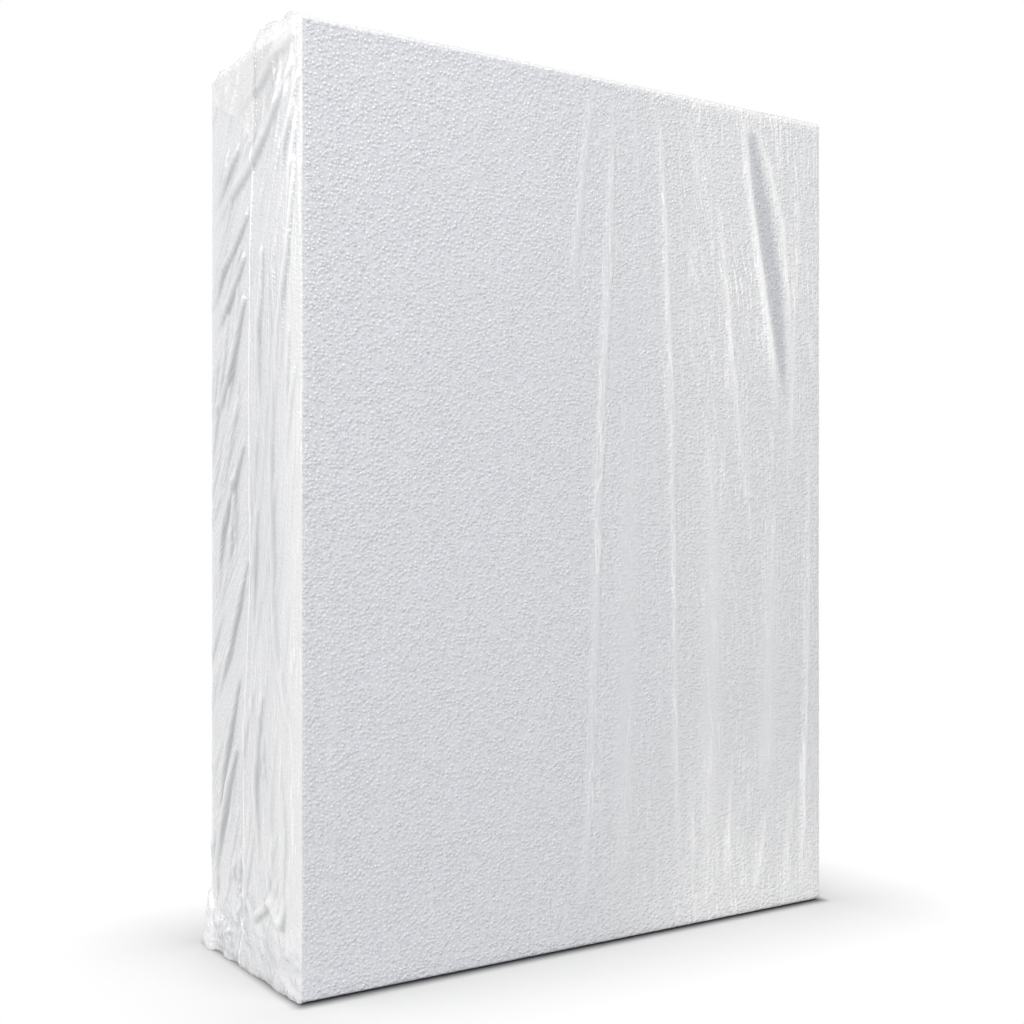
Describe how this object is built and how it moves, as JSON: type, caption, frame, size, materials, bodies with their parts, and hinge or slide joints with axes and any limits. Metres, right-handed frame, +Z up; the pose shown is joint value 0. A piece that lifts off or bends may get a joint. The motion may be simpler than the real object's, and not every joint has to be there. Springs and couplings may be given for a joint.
{
  "type": "polystyrene foam sheet",
  "caption": "Thick rectangular slab of white expanded polystyrene foam, standing on its end in a clear creased polythene wrap.",
  "frame": {"origin": "on the floor, under the middle of the slab as it stands on its end", "axes": "+X to the right along the broad front face, +Y to the back through the thickness, +Z up along the length"},
  "size_m": [0.4445, 0.1581, 0.6099],
  "materials": {
    "expanded_polystyrene": "matt, hot-wire cut beads",
    "clear_film": "clear, glossy, creased"
  },
  "bodies": {
    "root": {"foam_sheet": "expanded_polystyrene", "film_wrap": "clear_film"}
  },
  "joints": []
}
